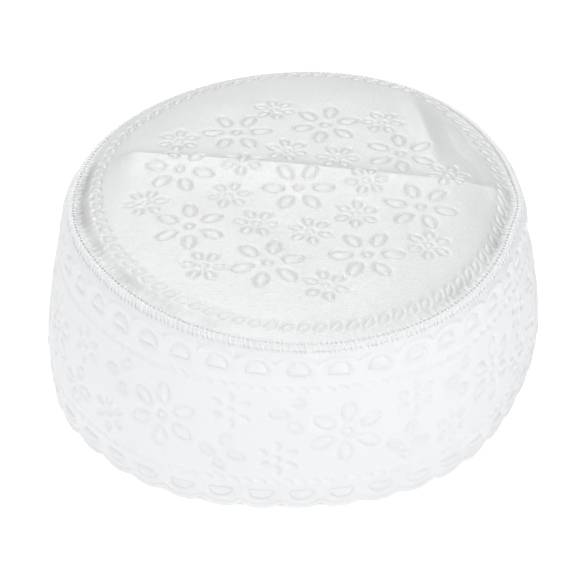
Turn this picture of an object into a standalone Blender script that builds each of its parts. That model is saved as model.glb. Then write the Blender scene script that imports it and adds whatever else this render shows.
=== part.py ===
"""A prayer cap: a flat satin crown sewn into a tall, padded band with a scalloped lower edge.

The cap stands on the tips of its scallops, with its front towards -Y and the crown up.
"""

import math
from collections import namedtuple

import bmesh
import bpy
import numpy as np
from mathutils import Vector

# Driving sizes, in metres
SEAM_HEIGHT = 0.0701
BAND_WALL = 0.0022
CROWN_WALL = 0.0014
SEWING_GAP = 0.0003
BAND_LIP = 0.0006
BAND_TOP_WALL = 0.0012
CROWN_HEM = 0.0045

# The scalloped lower edge
SCALLOPS = 42
SCALLOP_RISE = 0.0028
SCALLOP_FLAT = 0.28
SCALLOP_STATIONS = (0.0, 0.14, 0.36, 0.64, 0.86)
SCALLOP_PHASE = -0.0866

# Outlines seen from above: a mean radius, and the share of it by which the outline is
# longer across, longer on the diagonal, three-cornered, and waved by the soft edge
Outline = namedtuple("Outline", "radius across diagonal corner_x corner_y wave")
RIM = Outline(0.0930, 0.019, 0.027, -0.007, 0.011, 0.017)
SEAM = Outline(0.0827, -0.044, 0.004, -0.007, 0.002, 0.0)
EDGE_WAVES = 5

# The seam isn't level: it sinks towards the back, and waves a little on the way round
SEAM_SINK_BACK = 0.0021
SEAM_WAVE_ACROSS = 0.0006
SEAM_WAVE_DIAGONAL = 0.0010

# The band's side from the lower edge up: share of the height, share of the way from
# the rim's outline in to the seam's, and the padded wall there
BandRow = namedtuple("BandRow", "height lean wall")
BAND_ROWS = (
    BandRow(0.000, 0.000, BAND_WALL),
    BandRow(0.070, 0.018, BAND_WALL),
    BandRow(0.180, 0.053, BAND_WALL),
    BandRow(0.320, 0.159, BAND_WALL),
    BandRow(0.480, 0.298, BAND_WALL),
    BandRow(0.640, 0.464, BAND_WALL),
    BandRow(0.800, 0.641, BAND_WALL),
    BandRow(0.930, 0.822, BAND_TOP_WALL),
    BandRow(1.000, 1.000, BAND_TOP_WALL),
)
LINING_STEP = 2

# The crown from the seam in: share of the way out from its middle, rise of the cloth
# over the seam, and the further rise on the pressed crease
CrownRow = namedtuple("CrownRow", "reach rise crease")
CROWN_ROWS = (
    CrownRow(1.000, 0.0000, 0.0000),
    CrownRow(0.970, -0.0003, 0.0022),
    CrownRow(0.915, 0.0008, 0.0036),
    CrownRow(0.840, 0.0026, 0.0032),
    CrownRow(0.720, 0.0038, 0.0024),
    CrownRow(0.540, 0.0042, 0.0022),
    CrownRow(0.340, 0.0044, 0.0020),
    CrownRow(0.150, 0.0045, 0.0019),
)
CROWN_MIDDLE = CrownRow(0.0, 0.0045, 0.0019)
CREASE_RIGHT = math.radians(-2.5)
CREASE_LEFT = math.radians(168.0)
CREASE_SPREAD = 0.020
CREASE_FALL_RIGHT = 0.0022
SPOKES_PER_HALF = 48

TAU = 2 * math.pi
OUTLINE_SAMPLES = 1440


def clear_scene():
    for thing in list(bpy.data.objects):
        bpy.data.objects.remove(thing, do_unlink=True)


def cloth(name, colour, roughness):
    """A cloth's own Principled material."""
    material = bpy.data.materials.new(name)
    material.use_nodes = True
    shader = material.node_tree.nodes["Principled BSDF"]
    shader.inputs["Base Color"].default_value = (*colour, 1.0)
    shader.inputs["Roughness"].default_value = roughness
    shader.inputs["Metallic"].default_value = 0.0
    return material


def outline_point(outline, angle, outset=0.0):
    """A point of an outline seen from above, moved outward by outset."""
    radius = outline.radius * (
        1
        + outline.across * math.cos(2 * angle)
        + outline.diagonal * math.sin(2 * angle)
        + outline.corner_x * math.cos(3 * angle)
        + outline.corner_y * math.sin(3 * angle)
        + outline.wave * math.sin(EDGE_WAVES * angle)
    )
    radius += outset
    return Vector((radius * math.cos(angle), radius * math.sin(angle), 0.0))


def seam_height(angle):
    return (
        SEAM_HEIGHT
        - SEAM_SINK_BACK * math.sin(angle)
        + SEAM_WAVE_ACROSS * math.cos(2 * angle)
        + SEAM_WAVE_DIAGONAL * math.sin(2 * angle)
    )


def rim_length_table():
    """Angles round the rim, and the length of edge up to each."""
    angles = np.linspace(0, TAU, OUTLINE_SAMPLES + 1)
    points = np.array([outline_point(RIM, angle) for angle in angles])
    steps = np.linalg.norm(np.diff(points, axis=0), axis=1)
    return angles, np.concatenate([[0.0], np.cumsum(steps)])


def scallop_edge():
    """Each station of the scalloped edge: its angle round the rim and its height."""
    angles, lengths = rim_length_table()
    pitch = lengths[-1] / SCALLOPS
    half = pitch / 2
    bow = (half**2 + SCALLOP_RISE**2) / (2 * SCALLOP_RISE)

    def rise(share):
        reach = abs(share - 0.5) * pitch
        return bow - math.sqrt(bow**2 - reach**2)

    flat = rise(0.5 + SCALLOP_FLAT / 2)
    stations = []
    for scallop in range(SCALLOPS):
        for share in SCALLOP_STATIONS:
            length = (SCALLOP_PHASE + (scallop + share) / SCALLOPS) % 1.0 * lengths[-1]
            angle = float(np.interp(length, lengths, angles))
            stations.append((angle, max(rise(share) - flat, 0.0)))
    return stations


def band_point(angle, row, foot, depth):
    """A point of the band's side at one angle, depth in from its outer face."""
    low = outline_point(RIM, angle)
    high = outline_point(SEAM, angle, BAND_LIP)
    point = low.lerp(high, row.lean)
    point -= Vector((math.cos(angle), math.sin(angle), 0.0)) * depth
    point.z = foot if row.height == 0 else row.height * seam_height(angle)
    return point


def band_rings():
    """Rings up the band's outer face and down its inner one."""
    edge = scallop_edge()
    outer = [[band_point(angle, row, foot, 0.0) for angle, foot in edge] for row in BAND_ROWS]
    inner = [
        [band_point(angle, row, foot, row.wall) for angle, foot in edge]
        for row in BAND_ROWS[::-LINING_STEP]
    ]
    return outer + inner


def crown_spokes():
    """Angles of the crown's spokes: two of them lie along the crease."""
    back = np.linspace(CREASE_RIGHT, CREASE_LEFT, SPOKES_PER_HALF, endpoint=False)
    front = np.linspace(CREASE_LEFT, CREASE_RIGHT + TAU, SPOKES_PER_HALF, endpoint=False)
    return [float(angle) for angle in (*back, *front)]


def crown_edge(angle, inset=0.0):
    """The crown's sewn edge, which stands just inside the band's top."""
    setback = BAND_LIP - BAND_TOP_WALL - SEWING_GAP
    point = outline_point(SEAM, angle, setback - inset)
    point.z = seam_height(angle)
    return point


def crown_point(angle, row, middle, crease_line):
    """A point on the crown's face."""
    edge = crown_edge(angle)
    point = middle.lerp(edge, row.reach)
    side = (point - middle).cross(crease_line).z
    nearness = max(0.0, 1 - abs(side) / CREASE_SPREAD)
    along = (point - middle).dot(crease_line) / SEAM.radius
    crease = row.crease - CREASE_FALL_RIGHT * max(0.0, along) * (row.reach < 1)
    level = SEAM_HEIGHT + (edge.z - SEAM_HEIGHT) * row.reach**2
    point.z = level + row.rise + max(0.0, crease) * nearness**1.5
    return point


def crown_rings():
    """Rings from the middle of the crown's face out, down its hem and back in below."""
    right = crown_edge(CREASE_RIGHT)
    left = crown_edge(CREASE_LEFT)
    middle = (right + left) / 2
    crease_line = Vector((right.x - left.x, right.y - left.y, 0.0)).normalized()
    spokes = crown_spokes()
    face = [
        [crown_point(angle, row, middle, crease_line) for angle in spokes]
        for row in reversed(CROWN_ROWS)
    ]
    down = Vector((0.0, 0.0, -CROWN_WALL))
    hem_drop = Vector((0.0, 0.0, -CROWN_HEM))
    hem_outer = [crown_edge(angle) + hem_drop for angle in spokes]
    hem_inner = [crown_edge(angle, CROWN_WALL) + hem_drop for angle in spokes]
    corner = [crown_edge(angle, CROWN_WALL) + down for angle in spokes]
    below = [
        [crown_point(angle, row, middle, crease_line) + down for angle in spokes]
        for row in CROWN_ROWS[2::2]
    ]
    top = crown_point(CREASE_RIGHT, CROWN_MIDDLE, middle, crease_line)
    return face + [hem_outer, hem_inner, corner] + below, top, top + down


def skin(rings, closed=False, poles=()):
    """A mesh with a strip of faces between each ring and the next, and fans to the poles."""
    mesh = bmesh.new()
    rows = [[mesh.verts.new(point) for point in ring] for ring in rings]
    following = rows[1:] + (rows[:1] if closed else [])
    for row, after in zip(rows, following):
        for index in range(len(row)):
            other = (index + 1) % len(row)
            mesh.faces.new((row[index], row[other], after[other], after[index]))
    for pole, row in zip(poles, (rows[0], rows[-1])):
        point = mesh.verts.new(pole)
        for index in range(len(row)):
            mesh.faces.new((point, row[index], row[(index + 1) % len(row)]))
    bmesh.ops.recalc_face_normals(mesh, faces=mesh.faces)
    return mesh


def piece(name, mesh, material, move):
    """An object of its own from a mesh, moved to where the cap's origin wants it."""
    bmesh.ops.translate(mesh, vec=move, verts=mesh.verts)
    data = bpy.data.meshes.new(name)
    mesh.to_mesh(data)
    mesh.free()
    data.materials.append(material)
    data.shade_smooth()
    data.set_sharp_from_angle(angle=math.radians(40))
    thing = bpy.data.objects.new(name, data)
    bpy.context.scene.collection.objects.link(thing)
    return thing


def to_origin(rings):
    """The move that puts the origin under the middle of the band's box."""
    points = np.array([point for ring in rings for point in ring])
    low, high = points.min(axis=0), points.max(axis=0)
    return Vector((-(low[0] + high[0]) / 2, -(low[1] + high[1]) / 2, -low[2]))


def build():
    clear_scene()
    rings = band_rings()
    move = to_origin(rings)
    padded = cloth("embossed_cloth", (0.86, 0.86, 0.87), 0.75)
    satin = cloth("satin", (0.82, 0.82, 0.83), 0.4)
    piece("band", skin(rings, closed=True), padded, move)
    face, top, under = crown_rings()
    piece("crown", skin(face, poles=(top, under)), satin, move)


build()
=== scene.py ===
# %% [markdown]
# # A white prayer cap
#
# The cap is two pieces of cloth: a flat satin crown, and a tall foam-backed band with a
# scalloped lower edge. Both are pressed with the flowers and borders of eyelet lace.
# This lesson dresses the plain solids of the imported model, the frame, with that cloth.

# %% Load the frame
import math
from collections import namedtuple

import bmesh
import bpy
import numpy as np
from mathutils import Matrix, Vector, noise
from mathutils.geometry import delaunay_2d_cdt


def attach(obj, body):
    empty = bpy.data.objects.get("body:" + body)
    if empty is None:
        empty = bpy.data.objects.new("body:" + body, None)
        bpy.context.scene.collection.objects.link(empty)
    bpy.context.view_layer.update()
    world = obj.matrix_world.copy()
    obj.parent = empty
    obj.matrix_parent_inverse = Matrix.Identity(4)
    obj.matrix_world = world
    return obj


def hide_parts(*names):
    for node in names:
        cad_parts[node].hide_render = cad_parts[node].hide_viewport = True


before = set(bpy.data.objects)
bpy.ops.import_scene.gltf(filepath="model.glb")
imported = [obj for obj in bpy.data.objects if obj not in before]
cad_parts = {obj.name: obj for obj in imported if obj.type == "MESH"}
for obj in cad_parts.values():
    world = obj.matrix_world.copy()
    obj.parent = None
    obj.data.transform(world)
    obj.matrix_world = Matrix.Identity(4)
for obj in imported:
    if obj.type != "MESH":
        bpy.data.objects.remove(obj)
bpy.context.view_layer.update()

MM = 0.001
DRAWN = 1000  # flat drawings are in millimetres, places in the scene in metres
TAU = 2 * math.pi
print("solids of the frame:", sorted(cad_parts))

# %% [markdown]
# ## The camera
#
# The photograph looks down at the cap's front with a long lens. Its place, tilt and lens
# come first, because every later choice is judged through it. A camera could be turned by
# three angles, but written out as its own three axes, the tilt and the roll stay apart.

# %% The camera
CAMERA_PLACE = Vector((-0.00183, -0.46900, 0.40496))
CAMERA_DOWN = math.radians(39.136)
CAMERA_ROLL = math.radians(-0.229)
CAMERA_LENS = 98.59
SENSOR = 36.0


def aim_camera():
    """Adds the camera, looking along +Y and down, with its small roll."""
    bpy.ops.object.camera_add(location=CAMERA_PLACE)
    camera = bpy.context.object
    camera.name = "view_of_the_cap"
    camera.data.lens = CAMERA_LENS
    camera.data.sensor_width = SENSOR
    right = Vector((1, 0, 0))
    up = Vector((0, math.sin(CAMERA_DOWN), math.cos(CAMERA_DOWN)))
    across = right * math.cos(CAMERA_ROLL) - up * math.sin(CAMERA_ROLL)
    upward = right * math.sin(CAMERA_ROLL) + up * math.cos(CAMERA_ROLL)
    turn = Matrix((across, upward, across.cross(upward))).transposed()
    camera.matrix_world = Matrix.Translation(CAMERA_PLACE) @ turn.to_4x4()
    bpy.context.scene.camera = camera
    return camera


camera = aim_camera()
print("camera at", tuple(round(v, 3) for v in camera.location))

# %% [markdown]
# ## Lights, world and floor
#
# A white cap on a white ground is all soft light. Broad discs of light stand round the cap:
# those behind and over it are mirrored by the satin, and those at the front and the sides
# draw the pressed pattern. One big lamp would be simpler, but then the satin's tones
# couldn't be set one by one. The floor is pale and plain, and takes a faint shadow.

# %% Soft lights
# The turn round the cap and the rise over the floor are in degrees, the width of the disc
# in metres and its power in watts
SoftLight = namedtuple("SoftLight", "name turn rise size power")
LIGHTS = (
    SoftLight("overhead_sheet", -90, 65, 0.8, 8.4),
    SoftLight("front_sheet", -90, 18, 0.8, 2.8),
    SoftLight("front_left_sheet", -145, 35, 0.8, 3.5),
    SoftLight("front_right_sheet", -35, 35, 0.8, 6.9),
    SoftLight("back_left_sheet", 125, 56, 0.9, 4.8),
    SoftLight("back_sheet", 90, 50, 0.8, 7.4),
    SoftLight("left_sheet", 180, 15, 0.8, 3.6),
    SoftLight("right_sheet", 0, 12, 0.8, 1.6),
)
LIGHT_AWAY = 1.5
LIGHT_AIM = Vector((0.0, 0.0, 0.05))


def add_lights():
    """Each light stands at its turn and rise, and faces the middle of the cap."""
    for light in LIGHTS:
        turn, rise = math.radians(light.turn), math.radians(light.rise)
        level = math.cos(rise)
        place = Vector((math.cos(turn) * level, math.sin(turn) * level, math.sin(rise)))
        place *= LIGHT_AWAY
        bpy.ops.object.light_add(type="AREA", location=place)
        lamp = bpy.context.object
        lamp.name = light.name
        lamp.data.shape = "DISK"
        lamp.data.size = light.size
        lamp.data.energy = light.power
        lamp.rotation_euler = (LIGHT_AIM - place).to_track_quat("-Z", "Y").to_euler()


add_lights()
print(len(LIGHTS), "soft lights")

# %% World and floor
WORLD_COLOUR = (0.97, 0.985, 1.0)
WORLD_STRENGTH = 0.02
FLOOR_SIZE = 12.0
FLOOR_COLOUR = (0.95, 0.95, 0.95)
FLOOR_GLOW = 0.36


def plain_material(name, colour, roughness, shine):
    """A material of one colour, and its shader."""
    material = bpy.data.materials.new(name)
    material.use_nodes = True
    shader = material.node_tree.nodes["Principled BSDF"]
    shader.inputs["Base Color"].default_value = (*colour, 1.0)
    shader.inputs["Roughness"].default_value = roughness
    shader.inputs["Specular IOR Level"].default_value = shine
    return material, shader


def add_world():
    world = bpy.data.worlds.new("pale_room")
    world.use_nodes = True
    back = world.node_tree.nodes["Background"]
    back.inputs["Color"].default_value = (*WORLD_COLOUR, 1.0)
    back.inputs["Strength"].default_value = WORLD_STRENGTH
    bpy.context.scene.world = world


def add_floor():
    """A matt white floor that glows a little, as a lit studio floor does."""
    bpy.ops.mesh.primitive_plane_add(size=FLOOR_SIZE)
    floor = bpy.context.object
    floor.name = "floor"
    material, shader = plain_material("white_floor", FLOOR_COLOUR, roughness=0.9, shine=0.1)
    shader.inputs["Emission Color"].default_value = (1.0, 1.0, 1.0, 1.0)
    shader.inputs["Emission Strength"].default_value = FLOOR_GLOW
    floor.data.materials.append(material)


add_world()
add_floor()
bpy.context.scene.view_settings.view_transform = "Standard"
bpy.context.scene.view_settings.look = "None"
print("a pale world and a white floor", FLOOR_SIZE, "m wide")

# %% [markdown]
# ## Soft curves
#
# Cloth has no hard steps: it swells, dips and eases from one height to the next. Brushes
# in sculpt mode could model that by hand, but a few short formulas say it in numbers that
# can be read and changed: a bell for a swell, a soft step, a smooth curve through the rows
# of a table, and slow noise for the unevenness of padding and satin.

# %% Soft curves
NOISE_STEP = (7.3, 3.1, 5.7)  # how far apart in space two kinds of noise are read


def bell(away, wide):
    """1 at nought, falling off softly to both sides."""
    return np.exp(-((away / wide) ** 2))


def bell_round(angle, middle, wide):
    """A bell at one place round the cap, in radians."""
    return bell((angle - middle + math.pi) % TAU - math.pi, wide)


def eased(x, low, high):
    """0 up to low, 1 from high, and a soft step between."""
    t = np.clip((x - low) / (high - low), 0, 1)
    return t * t * (3 - 2 * t)


def through(x, at, values):
    """A smooth curve through a table's rows, with at rising."""
    slope = np.gradient(values, at)
    row = np.clip(np.searchsorted(at, x) - 1, 0, len(at) - 2)
    width = at[row + 1] - at[row]
    t = np.clip((x - at[row]) / width, 0, 1)
    return (
        (2 * t**3 - 3 * t**2 + 1) * values[row]
        + (t**3 - 2 * t**2 + t) * width * slope[row]
        + (3 * t**2 - 2 * t**3) * values[row + 1]
        + (t**3 - t**2) * width * slope[row + 1]
    )


def unevenness(places, size, kind):
    """Soft noise of cloth, from -1 to 1, whose bumps are about size across."""
    away = Vector([kind * step for step in NOISE_STEP])
    return np.array([noise.noise(Vector(p) / size + away) for p in places])


print("halfway up a soft step:", float(eased(0.5, 0.0, 1.0)))

# %% [markdown]
# ## The cap's form
#
# The cloth has to lie on the same form as the frame's solids, so the driving sizes of both
# pieces are repeated here: two outlines seen from above, one at the rim and one at the
# seam, and later short tables of rows between them. The solids could be subdivided
# instead, but their flat facets would stay. A smooth curve through the rows has none.

# %% The outlines
# A mean radius, and the share of it by which the outline is longer across, longer on the
# diagonal, three-cornered, and waved by the soft edge
Outline = namedtuple("Outline", "radius across diagonal corner_x corner_y wave")
RIM = Outline(0.0930, 0.019, 0.027, -0.007, 0.011, 0.017)
SEAM = Outline(0.0827, -0.044, 0.004, -0.007, 0.002, 0.0)
EDGE_WAVES = 5
SEAM_HEIGHT = 0.0701
SEAM_SINK_BACK = 0.0021
SEAM_WAVE_ACROSS = 0.0006
SEAM_WAVE_DIAGONAL = 0.0010
# Where the crown's edge is pushed outward: the angle, over how wide an arc, and how far
Push = namedtuple("Push", "angle wide out")
SEAM_PUSHES = (
    Push(math.radians(-5), 0.15, 0.0019),
    Push(math.radians(10), 0.20, 0.0009),
    Push(math.radians(195), 0.30, 0.0012),
)


def outline_radius(outline, angle):
    """An outline's radius seen from above, at each angle."""
    return outline.radius * (
        1
        + outline.across * np.cos(2 * angle)
        + outline.diagonal * np.sin(2 * angle)
        + outline.corner_x * np.cos(3 * angle)
        + outline.corner_y * np.sin(3 * angle)
        + outline.wave * np.sin(EDGE_WAVES * angle)
    )


def seam_outline(angle):
    """The seam's radius, with the places where the crown's edge is pushed outward."""
    pushed = sum(push.out * bell_round(angle, push.angle, push.wide) for push in SEAM_PUSHES)
    return outline_radius(SEAM, angle) + pushed


def seam_height(angle):
    """The seam isn't level: it sinks towards the back, and waves a little."""
    return (
        SEAM_HEIGHT
        - SEAM_SINK_BACK * np.sin(angle)
        + SEAM_WAVE_ACROSS * np.cos(2 * angle)
        + SEAM_WAVE_DIAGONAL * np.sin(2 * angle)
    )


print(f"at the right the seam is {seam_height(0.0) * DRAWN:.1f} mm over the floor")

# %% Places seen from above
OUTLINE_SAMPLES = 2880


def plan(radius, angle):
    """Points seen from above, from radii and angles."""
    return np.stack([radius * np.cos(angle), radius * np.sin(angle)], axis=-1)


def length_along(points):
    """The length of a line up to each of its points."""
    steps = np.linalg.norm(np.diff(points, axis=0), axis=1)
    return np.concatenate([[0.0], np.cumsum(steps)])


ROUND = np.linspace(0, TAU, OUTLINE_SAMPLES + 1)
RIM_PLAN = plan(outline_radius(RIM, ROUND), ROUND)
RIM_ALONG = length_along(RIM_PLAN)
RIM_LENGTH = RIM_ALONG[-1]
# The frame's origin is under the middle of the band's box, not at the outlines' own middle
TO_ORIGIN = -(RIM_PLAN.min(axis=0) + RIM_PLAN.max(axis=0)) / 2


def to_drawing(places):
    """From metres about the outlines' middle to millimetres about the frame's origin."""
    return (places + TO_ORIGIN) * DRAWN


def from_drawing(points):
    """From millimetres about the frame's origin to metres about the outlines' middle."""
    return points / DRAWN - TO_ORIGIN


print(f"rim {RIM_LENGTH * DRAWN:.1f} mm round, moved {TO_ORIGIN * DRAWN} mm")

# %% [markdown]
# ## The pressed pattern
#
# The real cloth is pressed between hot rollers that copy eyelet lace: each petal is a
# narrow channel round a small puffed island. A texture could fake it, but the channels
# catch the light and show on the mesh, so they are real relief. Every figure is drawn
# flat, in millimetres, as a closed line, and the depth of the cloth at any point comes
# from its distance to that line.

# %% Figures of the pattern
LINE_STEP = 0.25  # millimetres between the points of a drawn line
FEWEST_POINTS = 8
LEAF_SAMPLES = 72
LEAF_TAPER = 1.25  # 1 is an oval, and more gives sharper ends
MOON_SAMPLES = 40
MOON_BOW = 0.8


def evenly(points, step):
    """A closed line's points, step apart or just under."""
    ring = np.vstack([points, points[:1]])
    along = length_along(ring)
    count = max(FEWEST_POINTS, math.ceil(along[-1] / step))
    at = np.linspace(0, along[-1], count, endpoint=False)
    return np.stack([np.interp(at, along, ring[:, k]) for k in (0, 1)], axis=1)


def softened(points, rounds):
    """A closed line with its corners rounded."""
    for _ in range(rounds):
        points = (np.roll(points, 1, axis=0) + 2 * points + np.roll(points, -1, axis=0)) / 4
    return points


def leaf(length, width):
    """A pointed oval along X."""
    turn = np.linspace(0, TAU, LEAF_SAMPLES, endpoint=False)
    side = np.sign(np.sin(turn)) * np.abs(np.sin(turn)) ** LEAF_TAPER
    oval = np.stack([np.cos(turn) * length / 2, side * width / 2], axis=1)
    return softened(evenly(oval, LINE_STEP), rounds=1)


def half_moon(width, height):
    """A half moon that stands on its flat side."""
    turn = np.linspace(0, math.pi, MOON_SAMPLES)
    bow = np.stack([np.cos(turn) * width / 2, np.sin(turn) ** MOON_BOW * height], axis=1)
    bow[:, 1] -= height / 2
    return softened(evenly(bow, LINE_STEP), rounds=4)


def placed(points, middle, turn, out=0.0):
    """A figure moved out along X, then turned about its origin, then moved to its middle."""
    c, s = math.cos(turn), math.sin(turn)
    x, y = points[:, 0] + out, points[:, 1]
    return np.stack([x * c - y * s, x * s + y * c], axis=1) + np.asarray(middle)


small_leaf = leaf(5.0, 2.6)
print("a small leaf is", np.ptp(small_leaf, axis=0).round(2), "mm long and wide")

# %% Presses and flowers
# A press is a line with the channel's half width and depth, the puff of its island, whether
# it is filled, as a small hollow is, and the share of its depth by which the cloth round it
# is drawn down with it
Press = namedtuple("Press", "line half_width depth puff filled apron", defaults=(0.0,))
Flower = namedtuple("Flower", "petals reach length width eye half_width")
LARGE_FLOWER = Flower(6, 9.0, 7.5, 4.3, 1.55, 0.52)
SMALL_FLOWER = Flower(6, 5.4, 4.6, 2.9, 1.45, 0.45)


def flower(kind, middle, turn, depth, puff):
    """A flower's presses: its petals, and the eyelet in the middle."""
    petal = leaf(kind.length, kind.width)
    eye = leaf(kind.eye * 2, kind.eye * 2)
    lines = [
        placed(petal, middle, turn + k * TAU / kind.petals, kind.reach) for k in range(kind.petals)
    ]
    lines.append(placed(eye, middle, turn))
    return [Press(line, kind.half_width, depth, puff, False) for line in lines]


print("a large flower is", 2 * LARGE_FLOWER.reach + LARGE_FLOWER.length, "mm across")

# %% Distance to a drawn line
TINY = 1e-12


def signed_distance(points, line):
    """Distance from a closed line: below zero inside it."""
    start, run = line, np.roll(line, -1, axis=0) - line
    away = points[:, None, :] - start[None]
    share = np.clip((away * run).sum(-1) / np.maximum((run * run).sum(-1), TINY), 0, 1)
    gap = np.linalg.norm(away - share[..., None] * run, axis=-1).min(axis=1)
    above = start[None, :, 1] > points[:, None, 1]
    crosses = above != np.roll(above, -1, axis=1)
    tall = np.where(np.abs(run[:, 1]) < TINY, TINY, run[:, 1])
    side = start[None, :, 0] + (points[:, None, 1] - start[None, :, 1]) * run[:, 0] / tall
    inside = (crosses & (points[:, None, 0] < side)).sum(axis=1) % 2 == 1
    return np.where(inside, -gap, gap)


middle_distance = signed_distance(np.zeros((1, 2)), small_leaf)[0]
print(f"the middle of a small leaf is {-middle_distance:.2f} mm inside its line")

# %% The cloth in and beside a press
REACH = 2.6  # millimetres round a line in which the cloth still gives
# Widths and places across a press are shares of its channel's half width
CHANNEL_WIDE = 0.66
ISLAND_RISES = (0.3, 2.4)
HOLLOW_RISES = (-1.2, 0.9)
LIP_HIGH = 0.22
LIP_WIDE = 0.75
LIP_AT = 1.8
LIP_AT_PAST_APRON = 3.2
APRON_SINKS = (0.0, 0.5)
APRON_RISES = (1.2, 2.9)


def press_height(distance, press):
    """How far a press lifts the cloth, in millimetres: below zero in its channel."""
    w = press.half_width

    def step(away, shares):
        return eased(away, shares[0] * w, shares[1] * w)

    if press.filled:
        return -press.depth * (1 - step(distance, HOLLOW_RISES))
    channel = -press.depth * bell(distance, CHANNEL_WIDE * w)
    island = press.puff * step(-distance, ISLAND_RISES)
    lip_at = LIP_AT_PAST_APRON if press.apron else LIP_AT
    lip = LIP_HIGH * press.depth * bell(distance - lip_at * w, LIP_WIDE * w)
    apron = -press.apron * press.depth * step(distance, APRON_SINKS)
    return channel + island + lip + apron * (1 - step(distance, APRON_RISES))


def relief(points, presses):
    """The height of the pressed pattern at flat points."""
    height = np.zeros(len(points))
    order = np.argsort(points[:, 0])
    across = points[order, 0]
    for press in presses:
        low, high = press.line.min(axis=0) - REACH, press.line.max(axis=0) + REACH
        first, last = np.searchsorted(across, (low[0], high[0]))
        near = order[first:last]
        near = near[(points[near, 1] > low[1]) & (points[near, 1] < high[1])]
        if len(near):
            height[near] += press_height(signed_distance(points[near], press.line), press)
    return height


petal_press = flower(LARGE_FLOWER, (0, 0), 0.0, depth=0.5, puff=0.1)[0]
print("across a petal's line:", press_height(np.linspace(-2, 2, 5), petal_press).round(2), "mm")

# %% [markdown]
# ## Meshing the relief
#
# A grid fine enough for channels a millimetre wide would need millions of faces. So the
# points go where the form needs them: rows along every drawn line, just outside, on and
# inside its channel, and a loose net elsewhere. A triangulation of the flat drawing joins
# them, and then each point is lifted to its height.

# %% Points where the form needs them
OTHER_LINE_NEAR = 0.09  # by how much a row's point may come nearer to another stretch of line
BESIDE = [(a, b) for a in (-1, 0, 1) for b in (-1, 0, 1)]  # a grid cell and the eight round it


def rows_along(press, shares, step):
    """Points beside a drawn line, at shares of the channel's half width."""
    line = evenly(press.line, step)
    tangent = np.roll(line, -1, axis=0) - np.roll(line, 1, axis=0)
    tangent /= np.linalg.norm(tangent, axis=1)[:, None]
    outward = np.stack([tangent[:, 1], -tangent[:, 0]], axis=1)
    rows = []
    for share in shares:
        row = line + outward * share * press.half_width
        wanted = abs(share) * press.half_width
        true = np.abs(signed_distance(row, press.line)) > wanted - OTHER_LINE_NEAR
        rows.append(row[true])
    return np.vstack(rows)


def thinned(points, gap):
    """The points in their order, without each that comes nearer than gap to a kept one."""
    kept, cells = [], {}
    squared = gap * gap
    for x, y in points.tolist():
        i, j = math.floor(x / gap), math.floor(y / gap)
        near = (cells.get((i + a, j + b)) for a, b in BESIDE)
        if all(q is None or (q[0] - x) ** 2 + (q[1] - y) ** 2 >= squared for q in near):
            kept.append((x, y))
            cells[(i, j)] = (x, y)
    return np.array(kept)


def clear_of(points, others, gap):
    """The points that have none of the others within gap."""
    cells = {}
    for x, y in others.tolist():
        cells.setdefault((math.floor(x / gap), math.floor(y / gap)), []).append((x, y))
    kept = []
    for x, y in points.tolist():
        i, j = math.floor(x / gap), math.floor(y / gap)
        near = (q for a, b in BESIDE for q in cells.get((i + a, j + b), ()))
        if all((q[0] - x) ** 2 + (q[1] - y) ** 2 >= gap * gap for q in near):
            kept.append((x, y))
    return np.array(kept).reshape(-1, 2)


def net(low, high, step):
    """A loose triangular net of points over a rectangle."""
    rows = np.arange(low[1], high[1], step * math.sqrt(3) / 2)
    columns = np.arange(low[0], high[0], step)
    shifts = step / 2 * (np.arange(len(rows)) % 2)
    return np.vstack([
        np.stack([columns + shift, np.full(len(columns), y)], axis=1)
        for shift, y in zip(shifts, rows)
    ])


print(len(net((0, 0), (10, 10), 1.0)), "points of a net in a square centimetre")

# %% Triangles between the points
INSIDE_ONLY = 1
SAME_POINT = 1e-6


def triangles_inside(border, points):
    """Triangles that join a closed border and the points inside it."""
    flat = np.vstack([border, points])
    ring = list(range(len(border)))
    corners = [Vector(p) for p in flat]
    made = delaunay_2d_cdt(corners, [], [ring], INSIDE_ONLY, SAME_POINT, True)
    source = [min(found) if found else -1 for found in made[3]]
    if min(source) < 0:
        raise ValueError("the border crosses itself")
    faces = np.array([[source[v] for v in face] for face in made[2]])
    at_edge = np.nonzero((faces < len(border)).all(axis=1))[0]
    outside = signed_distance(flat[faces[at_edge]].mean(axis=1), border) > 0
    return flat, np.delete(faces, at_edge[outside], axis=0)


print(len(triangles_inside(small_leaf, np.zeros((1, 2)))[1]), "triangles fill a small leaf")

# %% [markdown]
# ## The crown's form
#
# The crown is a flat disc of lined satin. It rises from the seam to its level face, and
# still carries the sharp crease of the fold it was packed with. One table gives the cloth's
# rise and the crease's height from the middle outward, and a ridge that falls off to both
# sides, quicker at the back than at the front, draws the crease.

# %% The crown's rows and crease
BAND_LIP = 0.0006
BAND_TOP_WALL = 0.0012
SEWING_GAP = 0.00004
# The share of the way out from the middle, and how far cloth and crease rise there, in
# millimetres
CrownRow = namedtuple("CrownRow", "reach rise crease")
CROWN_ROWS = (
    CrownRow(0.000, 4.5, 1.9),
    CrownRow(0.150, 4.5, 1.9),
    CrownRow(0.340, 4.4, 2.0),
    CrownRow(0.540, 4.2, 2.2),
    CrownRow(0.720, 3.8, 2.4),
    CrownRow(0.840, 3.0, 3.0),
    CrownRow(0.900, 2.2, 3.2),
    CrownRow(0.935, 1.4, 2.8),
    CrownRow(0.965, 0.5, 1.8),
    CrownRow(0.985, 0.1, 0.7),
    CrownRow(1.000, 0.0, 0.0),
)
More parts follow.
